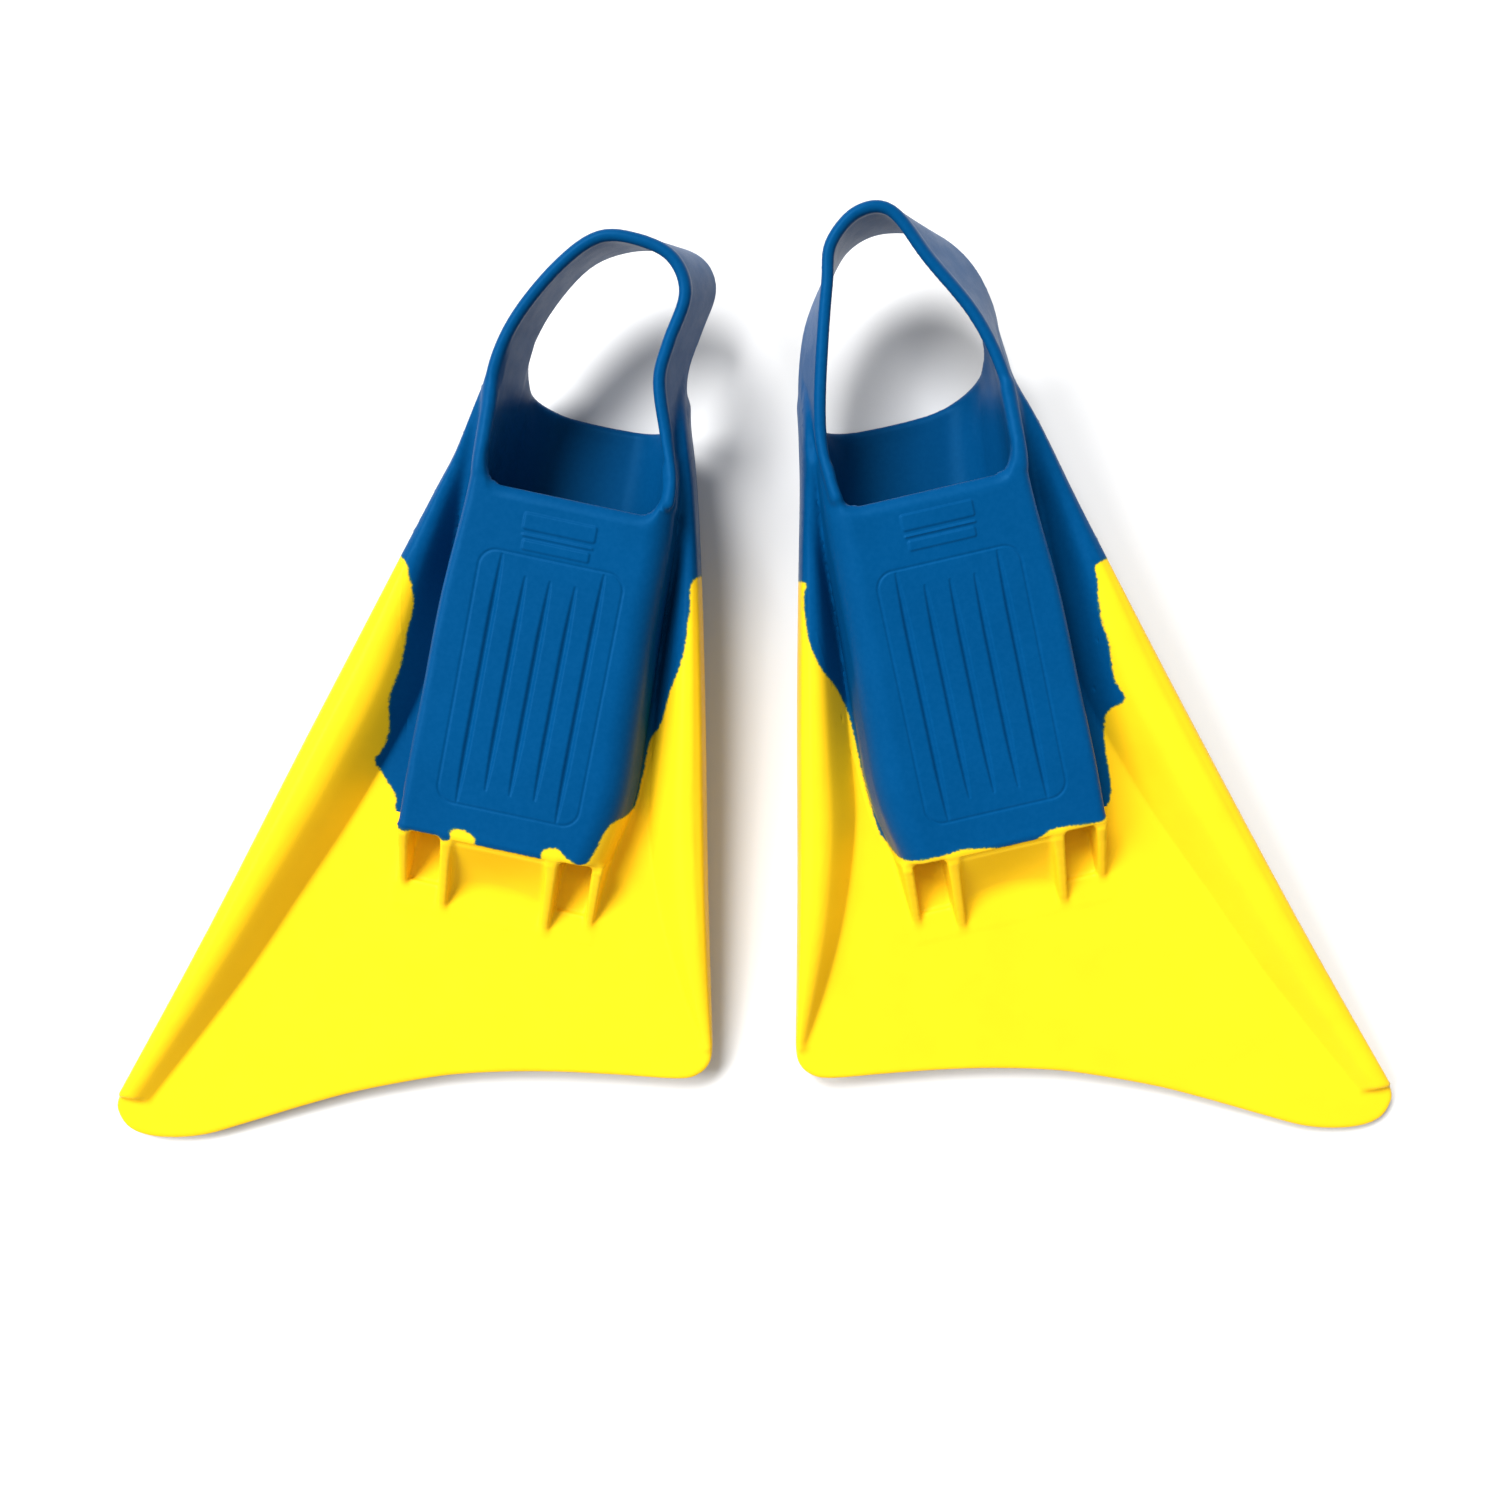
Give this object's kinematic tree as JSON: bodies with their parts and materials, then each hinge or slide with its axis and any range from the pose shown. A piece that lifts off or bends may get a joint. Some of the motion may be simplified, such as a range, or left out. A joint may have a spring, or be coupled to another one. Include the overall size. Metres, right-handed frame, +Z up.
{
  "type": "swim fins",
  "caption": "Pair of mirrored rubber bodyboard swim fins lying soles up: open-heel foot pockets with strap loops, and wide angled blades that flex between stiff side rails.",
  "frame": {"origin": "on the floor, under the middle of the pair's bounding box", "axes": "+X across the pair to the right fin, +Y from the blades to the heels, +Z up, out of the soles"},
  "size_m": [0.5453, 0.3811, 0.0775],
  "materials": {
    "blue_rubber": "satin moulded natural rubber, soft compound",
    "yellow_rubber": "satin moulded natural rubber, firm compound"
  },
  "bodies": {
    "left_foot": {"left_foot_pocket": "blue_rubber", "left_blade_root": "yellow_rubber", "left_outer_rail_root": "yellow_rubber", "left_inner_rail_root": "yellow_rubber", "left_toe_ramp": "yellow_rubber", "left_drain_rib_1": "yellow_rubber", "left_drain_rib_2": "yellow_rubber", "left_drain_rib_3": "yellow_rubber", "left_drain_rib_4": "yellow_rubber"},
    "left_blade": {"left_blade_web": "yellow_rubber", "left_outer_rail_tip": "yellow_rubber", "left_inner_rail_tip": "yellow_rubber"},
    "left_strap": {"left_heel_strap": "blue_rubber"},
    "right_foot": {"right_foot_pocket": "blue_rubber", "right_blade_root": "yellow_rubber", "right_outer_rail_root": "yellow_rubber", "right_inner_rail_root": "yellow_rubber", "right_toe_ramp": "yellow_rubber", "right_drain_rib_1": "yellow_rubber", "right_drain_rib_2": "yellow_rubber", "right_drain_rib_3": "yellow_rubber", "right_drain_rib_4": "yellow_rubber"},
    "right_blade": {"right_blade_web": "yellow_rubber", "right_outer_rail_tip": "yellow_rubber", "right_inner_rail_tip": "yellow_rubber"},
    "right_strap": {"right_heel_strap": "blue_rubber"}
  },
  "joints": [
    {"name": "left_blade_flex", "type": "hinge", "parent": "left_foot", "child": "left_blade", "pos_m": [-0.11477, -0.10291, 0.01682], "axis": [-0.9781, 0.2079, 0], "range_deg": [-25, 30], "stiffness_Nm_per_rad": 8},
    {"name": "left_strap_swing", "type": "hinge", "parent": "left_foot", "child": "left_strap", "pos_m": [-0.06993, 0.10803, 0.05055], "axis": [0.9781, -0.2079, 0], "range_deg": [-35, 35], "stiffness_Nm_per_rad": 1},
    {"name": "right_blade_flex", "type": "hinge", "parent": "right_foot", "child": "right_blade", "pos_m": [0.11345, -0.10126, 0.01682], "axis": [-0.9744, -0.225, 0], "range_deg": [-25, 30], "stiffness_Nm_per_rad": 8},
    {"name": "right_strap_swing", "type": "hinge", "parent": "right_foot", "child": "right_strap", "pos_m": [0.06494, 0.10887, 0.05055], "axis": [0.9744, 0.225, 0], "range_deg": [-35, 35], "stiffness_Nm_per_rad": 1},
    {"name": "right_fin_lift", "type": "slide", "parent": "left_foot", "child": "right_foot", "axis": [0, 0, 1], "range_m": [0, 0.12]}
  ]
}
